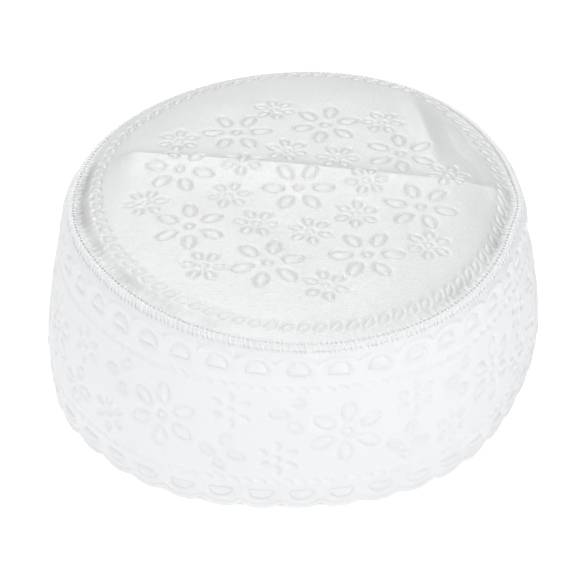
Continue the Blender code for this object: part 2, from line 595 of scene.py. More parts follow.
# The crease: its two ends round the seam, where it falls and fades, and its tip's rounding
# and its spread to both sides in millimetres
CREASE_RIGHT = math.radians(-2.5)
CREASE_LEFT = math.radians(168.0)
CREASE_FALL_RIGHT = 2.2
CREASE_FALL_STARTS = 0.04
CREASE_FADES_LEFT = (0.70, 0.86)
CREASE_TIP = 0.4
CREASE_FRONT = 7.5
CREASE_BACK = 3.6
CREASE_GAIN = 1.5


def at_angle(angle):
    """A point of the crown's edge seen from above."""
    return plan(seam_outline(angle) + (BAND_LIP - BAND_TOP_WALL - SEWING_GAP), angle)


CREASE_ENDS = at_angle(np.array([CREASE_LEFT, CREASE_RIGHT]))
CREASE_LENGTH = np.linalg.norm(CREASE_ENDS[1] - CREASE_ENDS[0])
CREASE_LINE = (CREASE_ENDS[1] - CREASE_ENDS[0]) / CREASE_LENGTH
CROWN_MIDDLE = CREASE_ENDS.mean(axis=0)
CROWN_EDGE = at_angle(ROUND)
CROWN_ALONG = length_along(CROWN_EDGE)
CROWN_ROUND = CROWN_ALONG[-1]
EDGE_AWAY = CROWN_EDGE - CROWN_MIDDLE
EDGE_TURN = np.unwrap(np.arctan2(EDGE_AWAY[:, 1], EDGE_AWAY[:, 0]))
EDGE_REACH = np.linalg.norm(EDGE_AWAY, axis=1)
print(f"crown {CROWN_ROUND * DRAWN:.0f} mm round, crease {CREASE_LENGTH * DRAWN:.0f} mm long")

# %% Places on the crown, and its height there


def crown_polar(places):
    """For flat places in metres: share of the way out, angle of the seam, reach of the edge."""
    away = places - CROWN_MIDDLE
    turn = EDGE_TURN[0] + (np.arctan2(away[:, 1], away[:, 0]) - EDGE_TURN[0]) % TAU
    edge = np.interp(turn, EDGE_TURN, EDGE_REACH)
    angle = np.interp(turn, EDGE_TURN, ROUND)
    return np.linalg.norm(away, axis=1) / edge, angle, edge


def crown_inset(places):
    """For flat places in metres: millimetres in from the edge, and the angle of the seam."""
    reach, angle, edge = crown_polar(places)
    return (1 - reach) * edge * DRAWN, angle


def inside_edge(angle, inset):
    """Flat places in metres, an inset in millimetres in from the crown's edge."""
    edge = at_angle(angle)
    away = edge - CROWN_MIDDLE
    length = np.linalg.norm(away, axis=1)[:, None]
    return edge - away / length * np.reshape(inset, (-1, 1)) / DRAWN


def crown_form(places):
    """The crown's height without its pattern, at flat places in metres."""
    reach, angle, _ = crown_polar(places)
    away = places - CROWN_MIDDLE
    side = (away[:, 0] * CREASE_LINE[1] - away[:, 1] * CREASE_LINE[0]) * DRAWN
    along = away @ CREASE_LINE / SEAM.radius
    reaches, rises, creases = np.array(CROWN_ROWS).T
    rise = through(reach, reaches, rises)
    crease = through(reach, reaches, creases)
    crease -= CREASE_FALL_RIGHT * np.maximum(0, along) * eased(1 - reach, 0.0, CREASE_FALL_STARTS)
    crease *= 1 - eased(-along, *CREASE_FADES_LEFT)
    spread = np.where(side > 0, CREASE_FRONT, CREASE_BACK)
    ridge = np.exp(-(np.sqrt(side**2 + CREASE_TIP**2) - CREASE_TIP) / spread)
    level = SEAM_HEIGHT + (seam_height(angle) - SEAM_HEIGHT) * reach**2
    return level + (rise + CREASE_GAIN * np.maximum(0, crease) * ridge) / DRAWN


crease_top = crown_form(CROWN_MIDDLE[None])[0]
print(f"the crease stands {crease_top * DRAWN:.1f} mm over the floor")

# %% [markdown]
# ## The satin's softness
#
# Nothing on a real crown is quite even. A few broad dents give the sheen its slow changes
# of tone. Beside the seam the stitches pull the satin down into hollows and gather it into
# small radial puckers, except round the back, where it swells up instead. A cloth
# simulation could find such folds, but not these ones, so each has its row in a table.

# %% Dents of the satin
# Where a dent is, how wide each way, how turned and how high, in millimetres and radians
Dent = namedtuple("Dent", "x y along across turn height")
DENTS = (
    Dent(48, 40, 20, 3.8, 1.72, 1.9),
    Dent(61, 34, 24, 9.5, 1.68, -2.0),
    Dent(72, 6, 24, 9, 1.45, -1.6),
    Dent(14, 58, 14, 8, 0.4, 0.5),
    Dent(-40, 42, 22, 10, 0.7, 0.4),
    Dent(-30, -28, 26, 10, 2.4, 0.5),
    Dent(30, -40, 24, 9, 0.5, 0.4),
)


def dents(drawn):
    """Height of all dents at drawn points, in millimetres."""
    height = np.zeros(len(drawn))
    for dent in DENTS:
        dx, dy = drawn[:, 0] - dent.x, drawn[:, 1] - dent.y
        u = dx * math.cos(dent.turn) + dy * math.sin(dent.turn)
        v = dy * math.cos(dent.turn) - dx * math.sin(dent.turn)
        height += dent.height * np.exp(-((u / dent.along) ** 2) - (v / dent.across) ** 2)
    return height


print(len(DENTS), "dents, in the middle", dents(np.zeros((1, 2))).round(2), "mm high")

# %% Pulls and gathers beside the seam
# Where round the seam the stitches pull, over how wide an arc, and how hard
Pull = namedtuple("Pull", "angle wide deep")
PULLS = (
    Pull(math.radians(177), 0.14, 1.0),
    Pull(math.radians(194), 0.15, 0.8),
    Pull(math.radians(210), 0.08, 0.5),
    Pull(math.radians(224), 0.11, 0.6),
    Pull(math.radians(237), 0.09, 0.45),
    Pull(math.radians(249), 0.08, 0.3),
    Pull(math.radians(312), 0.20, 0.4),
    Pull(math.radians(337), 0.18, 0.7),
    Pull(math.radians(3), 0.30, 0.45),
)
PULL_DEEP = 0.8
PULL_INSET = 2.8
PULL_WIDE = 2.2
PULL_STARTS = (-0.5, 1.8)
# Two rows of waves round the seam: their number, how far they wander, and their share
GatherWave = namedtuple("GatherWave", "count wander share")
GATHER_WAVES = (GatherWave(163, 5, 1.0), GatherWave(241, -4, 0.6))
GATHER_HIGH = 0.34
GATHER_LEAST = 0.15
GATHER_REACH = 4.0
GATHER_FALL = 1.5
GATHER_STARTS = (0.0, 0.9)
WANDER_SIZE = 9.0
WANDER_KIND = 1
# Patches round the seam where a softness is stronger or weaker: their size, the kind of
# noise, and the least and the most that they leave of it
Patches = namedtuple("Patches", "size kind least most")
HOLLOW_PATCHES = Patches(3.4, 5, 0.4, 1.4)
GATHER_PATCHES = Patches(12.0, 2, 0.4, 1.7)
PATCHY = 0.6
NOISE_RING = 30.0


def seam_noise(angle, size, kind):
    """Noise read along a drawn ring, so that it closes on itself round the cap."""
    ring = plan(np.full(len(angle), NOISE_RING), angle)
    return unevenness(np.column_stack([ring, np.zeros(len(angle))]), size, kind)


def patchy(angle, patches):
    """About 1, more in some places round the seam and less in others."""
    noise_there = seam_noise(angle, patches.size, patches.kind)
    return np.clip(1 + PATCHY * noise_there, patches.least, patches.most)


def seam_hollows(inset, angle):
    """How hollow the satin is beside the seam, and how hard its stitches pull there."""
    pull = sum(p.deep * bell_round(angle, p.angle, p.wide) for p in PULLS)
    return bell(inset - PULL_INSET, PULL_WIDE) * pull * patchy(angle, HOLLOW_PATCHES), pull


def gathers(inset, angle, pull):
    """Height of the puckers that run in from the seam, in millimetres."""
    wander = seam_noise(angle, WANDER_SIZE, WANDER_KIND)
    waves = sum(
        wave.share * np.sin(wave.count * angle + wave.wander * wander) for wave in GATHER_WAVES
    )
    gather = (GATHER_LEAST + (1 - GATHER_LEAST) * pull) * patchy(angle, GATHER_PATCHES)
    fall = np.exp(-((inset / GATHER_REACH) ** GATHER_FALL))
    return GATHER_HIGH * gather * waves * fall * eased(inset, *GATHER_STARTS)


hollow_there = seam_hollows(np.full(len(ROUND), PULL_INSET), ROUND)[0]
print(f"where the stitches pull hardest, the satin sinks {PULL_DEEP * hollow_there.max():.2f} mm")

# %% The back's swell, the roll into the seam, and all together
EDGE_ROLL = 0.6
EDGE_DROP = 0.42
BACK_TURN = math.radians(12)
BACK_STARTS = (0.0, 0.5)
BACK_PUFF = 0.7
PUFF_RISES = (0.0, 0.8)
PUFF_FALLS = (1.2, 10.0)
CALM_STARTS = (1.0, 9.0)
# Slow bumps all over a cloth: about how wide and how high, and which kind of noise
Bumps = namedtuple("Bumps", "size high kind")
SATIN_BUMPS = (Bumps(21.0, 0.36, 3), Bumps(7.0, 0.10, 4))


def round_the_back(angle):
    """How much a place round the cap belongs to its back, where nothing pulls the satin."""
    return eased(np.sin(angle + BACK_TURN), *BACK_STARTS)


def crown_puff(inset, angle):
    """How far the cloth swells up beside the seam at the back."""
    swell = BACK_PUFF * round_the_back(angle) * eased(inset, *PUFF_RISES)
    return swell * (1 - eased(inset, *PUFF_FALLS))


def crown_roll(inset):
    """How far the cloth turns down into the seam, at an inset from its edge."""
    away = np.clip(1 - inset / EDGE_ROLL, 0, 1)
    return EDGE_DROP * away**2


def crown_softness(places):
    """Height of all that is uneven on the crown, in millimetres, and how hollow it is."""
    inset, angle = crown_inset(places)
    inset = np.maximum(0, inset)
    drawn = to_drawing(places)
    hollow, pull = seam_hollows(inset, angle)
    height = dents(drawn)
    height -= PULL_DEEP * hollow * eased(inset, *PULL_STARTS)
    height += crown_puff(inset, angle)
    height += gathers(inset, angle, pull)
    flat = np.column_stack([drawn, np.zeros(len(drawn))])
    for bumps in SATIN_BUMPS:
        height += eased(inset, *CALM_STARTS) * bumps.high * unevenness(flat, bumps.size, bumps.kind)
    return height, np.clip(hollow, 0, 1)


soft_there = crown_softness(inside_edge(ROUND, PULL_INSET))[0]
print(f"{PULL_INSET} mm inside the seam the satin's height varies by {np.ptp(soft_there):.1f} mm")

# %% [markdown]
# ## The crown's pressed pattern
#
# The flowers stand in rounds of eight about one in the middle, as a printed or pressed
# rosette does, so one short table of rounds makes them all. The border of slanted leaves
# follows the seam, and comes a little nearer to it at the right and at the back, as on a
# disc that was sewn in slightly off its middle.

# %% The crown's pressed pattern
CROWN_DEPTH = 0.48
CROWN_PUFF = 0.12
ROSETTE = (1.2, -5.6)
ROSETTE_TURN = math.radians(1.0)
ROSETTE_FLOWERS = 8
Spray = namedtuple("Spray", "kind reach angle")
SPRAYS = (
    Spray(LARGE_FLOWER, 44.4, math.radians(31.5)),
    Spray(SMALL_FLOWER, 25.0, math.radians(9.5)),
    Spray(SMALL_FLOWER, 55.0, math.radians(9.5)),
)
RING_LEAVES = 88
RING_LEAF = (5.0, 2.6)
RING_SLANT = math.radians(33)
RING_HALF = 0.46
RING_PUFF = 0.22
RING_INSET = 5.75
NEARER_RIGHT = 1.5
NEARER_BACK = 0.9
NEARER_FAR_RIGHT = 0.6
A_LITTLE = 0.01  # radians to both sides, between which the edge's direction is taken


def rosette():
    """The crown's flowers: one large in the middle, and three rounds of eight."""
    presses = flower(LARGE_FLOWER, ROSETTE, ROSETTE_TURN, CROWN_DEPTH, CROWN_PUFF)
    for spray in SPRAYS:
        for k in range(ROSETTE_FLOWERS):
            turn = spray.angle + k * TAU / ROSETTE_FLOWERS
            middle = (
                ROSETTE[0] + spray.reach * math.cos(turn),
                ROSETTE[1] + spray.reach * math.sin(turn),
            )
            presses += flower(spray.kind, middle, turn, CROWN_DEPTH, CROWN_PUFF)
    return presses


def ring_inset(angle):
    """How far in from the crown's edge the border of leaves lies, in millimetres."""
    inset = RING_INSET - NEARER_RIGHT * math.cos(angle) - NEARER_BACK * math.sin(angle)
    inset -= NEARER_FAR_RIGHT * max(math.cos(angle), 0) ** 2
    inset += (seam_outline(angle) - outline_radius(SEAM, angle)) * DRAWN
    return inset


def leaf_ring():
    """The border of slanted leaves just inside the seam."""
    presses = []
    for k in range(RING_LEAVES):
        at = CROWN_ROUND * (k + 0.5) / RING_LEAVES
        angle = float(np.interp(at, CROWN_ALONG, ROUND))
        behind, ahead = at_angle(np.array([angle - A_LITTLE, angle + A_LITTLE]))
        turn = math.atan2(*(ahead - behind)[::-1])
        edge = to_drawing(at_angle(np.array([angle]))[0])
        middle = edge + ring_inset(angle) * np.array([-math.sin(turn), math.cos(turn)])
        line = placed(leaf(*RING_LEAF), middle, turn + RING_SLANT)
        presses.append(Press(line, RING_HALF, CROWN_DEPTH, RING_PUFF, False))
    return presses


crown_presses = rosette() + leaf_ring()
print(len(crown_presses), "presses on the crown")

# %% [markdown]
# ## The crown as one shell
#
# The top sheet carries the pattern. Its edge turns down into the seam as a short hem, and
# a plain lower sheet closes it, so that the crown is one body of cloth as thick as satin
# with its lining. A Solidify modifier could thicken a sheet, but it would press every
# channel through to the underside, which is left plain here.

# %% Building an object from sheets and rows
UV_UNIT = 100  # millimetres of cloth across the UV square of its flat drawing


def ring_strip(upper, lower):
    """Quads between two closed rings of point numbers."""
    return np.stack([upper, np.roll(upper, -1), np.roll(lower, -1), lower], axis=1)


def cloth_object(name, points, groups, drawing, stands=None):
    """An object from points and groups of faces, with its flat drawing as its UV map.

    Where a strip's ends meet, stands gives for each point the one that stands for it.
    """
    if stands is None:
        stands = np.arange(len(points))
    used, number = np.unique(stands, return_inverse=True)
    faces = [tuple(face) for group in groups for face in number[group].tolist()]
    data = bpy.data.meshes.new(name)
    data.from_pydata([tuple(p) for p in (points[used] * MM).tolist()], [], faces)
    corners = np.concatenate([group.ravel() for group in groups])
    uv = data.uv_layers.new(name="flat_cloth")
    uv.data.foreach_set("uv", (drawing[corners] / UV_UNIT).ravel())
    thing = bpy.data.objects.new(name, data)
    bpy.context.scene.collection.objects.link(thing)
    return thing


def settle(thing, smooth_below):
    """Turns all faces outward, and smooths the shading of edges below an angle in degrees."""
    mesh = bmesh.new()
    mesh.from_mesh(thing.data)
    bmesh.ops.recalc_face_normals(mesh, faces=mesh.faces)
    loose = [edge for edge in mesh.edges if len(edge.link_faces) != 2]
    mesh.to_mesh(thing.data)
    mesh.free()
    bpy.ops.object.select_all(action="DESELECT")
    thing.select_set(True)
    bpy.context.view_layer.objects.active = thing
    bpy.ops.object.shade_smooth_by_angle(angle=math.radians(smooth_below))
    faces = sum(len(face.vertices) - 2 for face in thing.data.polygons)
    print(f"{thing.name}: {faces} triangles, {len(loose)} open edges")
    return thing


print("the UV square of a flat drawing is", UV_UNIT, "mm wide")

# %% The crown's points
# Millimetres between points: along a row, of all rows thinned together, from the border,
# in the loose net, and from the net to the rows
Spacing = namedtuple("Spacing", "row fine border net net_gap")
CROWN_SPACING = Spacing(0.45, 0.27, 0.4, 1.15, 0.6)
CROWN_LINE_ROWS = (-1.1, -0.55, 0.0, 0.55, 1.1)
EDGE_INSETS = (0.12, 0.3, 0.55, 0.9, 1.4, 2.0, 2.7, 3.5, 4.5, 5.8)
EDGE_STEP = 0.5
EDGE_WIDENS = 0.08
EDGE_GAP = 0.3
NET_INSET = 2.0
LEAST_INSET = 0.06
CREASE_STEP = 0.6
CREASE_END = 1.0
CREASE_OFFSETS = (0.0, 0.35, -0.35, 0.8, -0.8)


def inset_ring(inset, step):
    """Drawn points round the crown, a few millimetres in from its edge."""
    count = max(FEWEST_POINTS, round(CROWN_ROUND * DRAWN / step))
    angle = np.interp(np.arange(count) * CROWN_ROUND / count, CROWN_ALONG, ROUND)
    return to_drawing(inside_edge(angle, inset))


def crease_rows():
    """Drawn points along the crease, close together across it."""
    half = CREASE_LENGTH / 2 * DRAWN - CREASE_END
    along = np.arange(-half, half, CREASE_STEP)
    side = np.array([-CREASE_LINE[1], CREASE_LINE[0]])
    return np.vstack([
        to_drawing(CROWN_MIDDLE) + along[:, None] * CREASE_LINE + offset * side
        for offset in CREASE_OFFSETS
    ])


def crown_points(border):
    """All drawn points of the crown's top: pattern, crease, edge and net."""
    space = CROWN_SPACING
    lines = np.vstack([rows_along(press, CROWN_LINE_ROWS, space.row) for press in crown_presses])
    fine = thinned(np.vstack([lines, crease_rows()]), space.fine)
    fine = clear_of(fine, border, space.border)
    rings = [inset_ring(inset, EDGE_STEP + EDGE_WIDENS * inset) for inset in EDGE_INSETS]
    fine = np.vstack([fine, clear_of(np.vstack(rings), fine, EDGE_GAP)])
    loose = net(border.min(axis=0), border.max(axis=0), space.net)
    loose = loose[crown_inset(from_drawing(loose))[0] > NET_INSET]
    points = np.vstack([fine, clear_of(loose, fine, space.net_gap)])
    return points[crown_inset(from_drawing(points))[0] > LEAST_INSET]


crown_border = inset_ring(0.0, EDGE_STEP)
print(len(crown_border), "points round the crown's edge")

# %% The crown's mesh
CROWN_WALL = 0.0014
CROWN_HEM = 0.0045
LINING_STEP = 4.0
LINING_GAP = 2.5
LINING_REACH = 0.97
LINING_DROP = 0.25  # keeps the lining clear of the channels
SATIN_SMOOTH = 60


def crown_top():
    """The satin: its points, its triangles and how hollow each point is."""
    flat, faces = triangles_inside(crown_border, crown_points(crown_border))
    places = from_drawing(flat)
    inset = np.maximum(0, crown_inset(places)[0])
    softness, hollow = crown_softness(places)
    height = crown_form(places) * DRAWN
    height += softness + relief(flat, crown_presses) - crown_roll(inset)
    return np.column_stack([flat, height]), faces, hollow


def crown_lining(inner):
    """The plain cloth below, inside the ring where the hem ends."""
    loose = clear_of(net(inner.min(axis=0), inner.max(axis=0), LINING_STEP), inner, LINING_GAP)
    loose = loose[crown_polar(from_drawing(loose))[0] < LINING_REACH]
    flat, faces = triangles_inside(inner, loose)
    height = crown_form(from_drawing(flat)) * DRAWN - CROWN_WALL * DRAWN - LINING_DROP
    return np.column_stack([flat, height]), faces


def crown_piece():
    """Satin, hem and lining as one closed shell."""
    count = len(crown_border)
    inner = inset_ring(CROWN_WALL * DRAWN, CROWN_ROUND * DRAWN / count)
    upper, top, hollow = crown_top()
    lower, under = crown_lining(inner)
    angle = crown_polar(from_drawing(crown_border))[1]
    hem_z = seam_height(angle) * DRAWN - CROWN_HEM * DRAWN
    hem = [np.column_stack([ring, hem_z]) for ring in (crown_border, inner)]
    points = np.vstack([upper, *hem, lower])
    ring = np.arange(count)
    starts = (0, len(upper), len(upper) + count, len(upper) + 2 * count)
    strips = [ring_strip(ring + one, ring + other) for one, other in zip(starts, starts[1:])]
    groups = [np.vstack([top, under + starts[-1]]), np.vstack(strips)]
    thing = cloth_object("satin_crown", points, groups, points[:, :2])
    # Painted shade: each point's hollowness is kept, and the satin darkens its colour by it
    painted_gather_shade = thing.data.attributes.new("painted_gather_shade", "FLOAT", "POINT")
    painted_gather_shade.data.foreach_set("value", np.append(hollow, np.zeros(len(points) - len(hollow))))
    return thing


satin_crown = settle(crown_piece(), SATIN_SMOOTH)

# %% [markdown]
# ## The band's form
#
# The band is a strip of foam between two cloths, pressed and then sewn into a ring. It
# leans inward as it rises and rolls over into the seam at its top. It could be modelled
# round from the start, but the pattern is pressed on the flat strip, so its drawing is that
# strip laid flat. Scallops run along its bottom, and every drawn point has its place on
# the cap.

# %% The band's sizes
SCALLOPS = 42
SCALLOP_RISE = 2.8  # millimetres, between two scallops
SCALLOP_FLAT = 0.28  # the share of a scallop that stands on the floor
SCALLOP_PHASE = -0.0866  # the share of the way round at which the first scallop starts
BAND_TALL = 72.0  # the drawn height from the lower edge to the seam
JOIN_AT = 14.0  # the scallop at the back where the strip's ends meet
PITCH = RIM_LENGTH * DRAWN / SCALLOPS
STRIP_START = JOIN_AT * PITCH
STRIP_LENGTH = SCALLOPS * PITCH
# Share of the height, and share of the way from the rim's outline in to the seam's
BandRow = namedtuple("BandRow", "height lean")
BAND_ROWS = (
    BandRow(0.000, 0.000),
    BandRow(0.070, 0.018),
    BandRow(0.180, 0.053),
    BandRow(0.320, 0.159),
    BandRow(0.480, 0.298),
    BandRow(0.640, 0.464),
    BandRow(0.800, 0.641),
    BandRow(0.930, 0.822),
    BandRow(1.000, 1.000),
)
SLOPE_STEP = 0.004
# The padded strip bellies out a little at the front left, in radians and metres
BULGE = Push(math.radians(208), 0.22, 0.0022)
# It stands up more steeply under the seam at the right
STEEP = Push(math.radians(10), 0.26, 0.0018)
STEEP_AT = 0.78
STEEP_TALL = 0.15
BAND_BUMPS = (Bumps(26.0, 0.30, 5), Bumps(9.0, 0.10, 6))
BUMPS_START = (0.5, 8.0)
BUMPS_END = (0.5, 5.0)
print(f"one scallop is {PITCH:.2f} mm wide")

# %% The band's surface


def lean_at(share):
    """Share of the way in to the seam, at a share of the height."""
    heights, leans = np.array(BAND_ROWS).T
    return through(share, heights, leans)


def lean_slope(share):
    """How much the lean changes about a share of the height, and over what span."""
    above, below = np.minimum(share + SLOPE_STEP, 1.0), np.maximum(share - SLOPE_STEP, 0.0)
    return lean_at(above) - lean_at(below), above - below


def rim_angle(x):
    """The angle round the cap at a place along the drawn strip."""
    length = (SCALLOP_PHASE + x / PITCH / SCALLOPS) % 1.0 * RIM_LENGTH
    return np.interp(length, RIM_ALONG, ROUND)


def strip_x(angle):
    """The place along the drawn strip of an angle round the cap."""
    along = np.interp(angle % TAU, ROUND, RIM_ALONG) / RIM_LENGTH
    return (along - SCALLOP_PHASE) * PITCH * SCALLOPS


def foot(x):
    """Height of the scalloped edge over the floor, in millimetres."""
    bow = ((PITCH / 2) ** 2 + SCALLOP_RISE**2) / (2 * SCALLOP_RISE)
    share = x / PITCH % 1.0
    reach = np.abs(share - 0.5) * PITCH
    flat = bow - math.sqrt(bow**2 - (SCALLOP_FLAT / 2 * PITCH) ** 2)
    return np.maximum(bow - np.sqrt(bow**2 - reach**2) - flat, 0)


def band_plan(radius, angle):
    """Points seen from above in millimetres, about the frame's origin."""
    return plan(radius, angle) + TO_ORIGIN * DRAWN


def band_form(flat, depth=0.0, lift=0.0):
    """Places in millimetres for points of the drawn strip, depth in from the outer face."""
    angle = rim_angle(flat[:, 0])
    share = flat[:, 1] / BAND_TALL
    low = outline_radius(RIM, angle) + BULGE.out * bell_round(angle, BULGE.angle, BULGE.wide)
    high = seam_outline(angle) + BAND_LIP
    tall = seam_height(angle)
    slope, span = lean_slope(share)
    tip = np.arctan((low - high) * slope / span / tall)
    out = np.asarray(lift) * np.cos(tip) - np.asarray(depth)
    steep = STEEP.out * bell_round(angle, STEEP.angle, STEEP.wide)
    steep = steep * bell(share - STEEP_AT, STEEP_TALL)
    radius = (low + (high - low) * lean_at(share) - steep) * DRAWN + out
    z = share * tall * DRAWN + np.asarray(lift) * np.sin(tip)
    return np.column_stack([band_plan(radius, angle), z])


def band_softness(flat):
    """Unevenness of the padded strip, in millimetres."""
    places = band_form(flat)
    height = sum(bumps.high * unevenness(places, bumps.size, bumps.kind) for bumps in BAND_BUMPS)
    return height * eased(flat[:, 1], *BUMPS_START) * eased(BAND_TALL - flat[:, 1], *BUMPS_END)


middle_of_band = band_form(np.array([[0.0, BAND_TALL / 2]]))[0]
print("halfway up, the band is at", middle_of_band.round(1), "mm")

# %% [markdown]
# ## The band's pressed pattern
#
# One repeat of the pattern holds a large flower, two small ones and two sprigs of leaves,
# and goes round the cap nine times. Rows of half moons and of small slanted leaves border
# it above and below, in step with the scallops. Each figure is drawn once at its true
# size, and widened where the strip narrows toward the seam, so that it comes out true.

# %% Flowers and sprigs of the band
NARROWING = 0.113  # by how much the strip is shorter along the seam than along the rim
REPEATS = 9
BAND_DEPTH = 0.50
BAND_PUFF = 0.30
OPEN_HALF = 0.56
FILLED_HALF = 0.78
FLOWER_APRON = 0.55
LEAF_HALF = 0.55
LEAF_APRON = 0.8
# A flower's place along the strip in scallops, and its height over the lower edge
BandFlower = namedtuple("BandFlower", "kind u height turn depth")
BAND_FLOWERS = (
    BandFlower(LARGE_FLOWER, 31.93, 34.5, math.radians(87), 0.50),
    BandFlower(SMALL_FLOWER, 33.75, 43.4, math.radians(90), 0.85),
    BandFlower(SMALL_FLOWER, 34.90, 24.0, math.radians(90), 0.85),
)
SprigLeaf = namedtuple("SprigLeaf", "x y turn length width")
Sprig = namedtuple("Sprig", "u height leaves")
BAND_SPRIGS = (
    Sprig(33.49, 24.8, (
        SprigLeaf(1.5, 5.5, math.radians(60), 4.5, 3.3),
        SprigLeaf(-4.7, 0.0, math.radians(-28), 5.0, 2.9),
        SprigLeaf(5.3, -1.0, math.radians(-8), 5.7, 3.0),
        SprigLeaf(-0.7, -5.4, math.radians(-45), 4.0, 2.8),
    )),
    Sprig(35.25, 43.0, (
        SprigLeaf(-4.4, 0.0, 0.0, 5.5, 2.8),
        SprigLeaf(2.0, 5.0, math.radians(50), 3.8, 2.5),
        SprigLeaf(0.8, -5.5, math.radians(-40), 4.3, 3.3),
    )),
)


def stretched(presses, u, height):
    """Presses drawn at true size about nought, put in their place on the strip."""
    wider = 1 / (1 - NARROWING * float(lean_at(np.array([height / BAND_TALL]))[0]))
    place = np.array([u * PITCH, height])
    return [press._replace(line=press.line * (wider, 1.0) + place) for press in presses]


def band_flower(item):
    """A flower of the band: the small ones are filled hollows, the large one is open."""
    filled = item.kind is SMALL_FLOWER
    half = FILLED_HALF if filled else OPEN_HALF
    figure = flower(item.kind, (0, 0), item.turn, item.depth, BAND_PUFF)
    return [press._replace(filled=filled, half_width=half, apron=FLOWER_APRON) for press in figure]


def sprig_leaf(part):
    line = placed(leaf(part.length, part.width), (part.x, part.y), part.turn)
    return Press(line, LEAF_HALF, BAND_DEPTH, BAND_PUFF, False, LEAF_APRON)


def band_pattern():
    """All repeats of the flowers and sprigs."""
    presses = []
    for k in range(REPEATS):
        shift = k * SCALLOPS / REPEATS
        for item in BAND_FLOWERS:
            presses += stretched(band_flower(item), item.u + shift, item.height)
        for sprig in BAND_SPRIGS:
            leaves = [sprig_leaf(part) for part in sprig.leaves]
            presses += stretched(leaves, sprig.u + shift, sprig.height)
    return presses


print(len(band_pattern()), "presses in", REPEATS, "repeats")

# %% Borders of the band
ROPE_ROWS = (54.0, 13.3)
ROPE_LEAVES = 3 * SCALLOPS
ROPE_SLANT = math.radians(-22)
ROPE_LEAF = Press(placed(leaf(4.3, 2.2), (0, 0), ROPE_SLANT), 0.75, 0.55, 0.0, True)
UPPER_MOON = Press(half_moon(6.4, 4.6), 0.60, 0.50, 0.40, False, 0.8)
LOWER_MOON = Press(half_moon(7.6, 3.4) * (1, -1), 0.56, 0.50, 0.40, False, 0.8)
UPPER_MOON_HEIGHT = 62.2
LOWER_MOON_HEIGHT = 6.6
UPPER_MOON_AT = 0.40  # how far along its scallop, as a share
LOWER_MOON_AT = 0.50


def band_borders():
    """The rows of slanted leaves, and the half moons over and under them."""
    presses = []
    for height in ROPE_ROWS:
        for k in range(ROPE_LEAVES):
            presses += stretched([ROPE_LEAF], (k + 0.5) * SCALLOPS / ROPE_LEAVES, height)
    for k in range(SCALLOPS):
        presses += stretched([UPPER_MOON], k + UPPER_MOON_AT, UPPER_MOON_HEIGHT)
        presses += stretched([LOWER_MOON], k + LOWER_MOON_AT, LOWER_MOON_HEIGHT)
    return presses


def round_the_band(presses):
    """The presses again, so that the strip from its join on is covered past both its ends."""
    low, high = STRIP_START - REACH, STRIP_START + STRIP_LENGTH + REACH
    kept = []
    for press in presses:
        for turns in (-2, -1, 0, 1, 2):
            line = press.line + (turns * STRIP_LENGTH, 0)
            if line[:, 0].max() > low and line[:, 0].min() < high:
                kept.append(press._replace(line=line))
    return kept


band_presses = round_the_band(band_pattern() + band_borders())
print(len(band_presses), "presses on the band")

# %% [markdown]
# ## Arcs, needle line and flange
#
# Three lines run all the way round and are no closed figures: the arcs over the upper half
# moons, the groove that the overlock machine's needle draws, and the thin pressed flange
# along the scallops. Each is a bell across its own curve, so a formula of the height over
# that curve is enough, and needs no drawn line.

# %% Lines round the whole band
ARC_APEX = 67.6
ARC_CUSP = 64.6
ARC_FULLNESS = 2.2
ARC_HIGH = 0.50
ARC_AT = -0.2
ARC_OVER = 0.85
ARC_UNDER = 0.5
STEP_UNDER_ARCS = 0.22
STEP_WIDE = (-0.5, 0.5)
STEP_STARTS = (57.0, 66.0)
NEEDLE_LINE = 69.7
NEEDLE_DEEP = 0.44
NEEDLE_WIDE = 0.36
FLANGE_THIN = 0.14
FLANGE_ENDS = (0.6, 1.3)
FLANGE_LINE = 1.9
FLANGE_DEEP = 0.5
FLANGE_LINE_WIDE = 0.5


def arc_height(x):
    """Height of the row of arcs that stands over the upper half moons."""
    across = (x / PITCH - UPPER_MOON_AT + 0.5) % 1.0 - 0.5
    share = np.clip(np.abs(across) * 2, 0, 1)
    return ARC_CUSP + (ARC_APEX - ARC_CUSP) * np.sqrt(np.maximum(0, 1 - share**ARC_FULLNESS))


def lines_height(flat):
    """Height of the arcs, the needle's groove and the flange, in millimetres."""
    x, y = flat[:, 0], flat[:, 1]
    above = y - arc_height(x)
    step = STEP_UNDER_ARCS * (1 - eased(above, *STEP_WIDE)) * eased(y, *STEP_STARTS)
    line = ARC_HIGH * bell(above - ARC_AT, np.where(above > ARC_AT, ARC_OVER, ARC_UNDER))
    line -= NEEDLE_DEEP * bell(y - NEEDLE_LINE, NEEDLE_WIDE)
    over_edge = y - foot(x)
    flange = -FLANGE_THIN * (1 - eased(over_edge, *FLANGE_ENDS))
    flange -= FLANGE_DEEP * bell(over_edge - FLANGE_LINE, FLANGE_LINE_WIDE)
    return step + line + flange


print("arcs from", ARC_CUSP, "to", ARC_APEX, "mm up the strip")

# %% [markdown]
# ## The band as one shell
#
# The strip's face carries the pattern, and its plain inner cloth lies a padded wall behind
# it. Rows of points turn the lower edge round under the scallops, and roll the top edge
# over and down inside the seam. At the back the two ends of the strip are welded, so that
# the shell has no open edge.

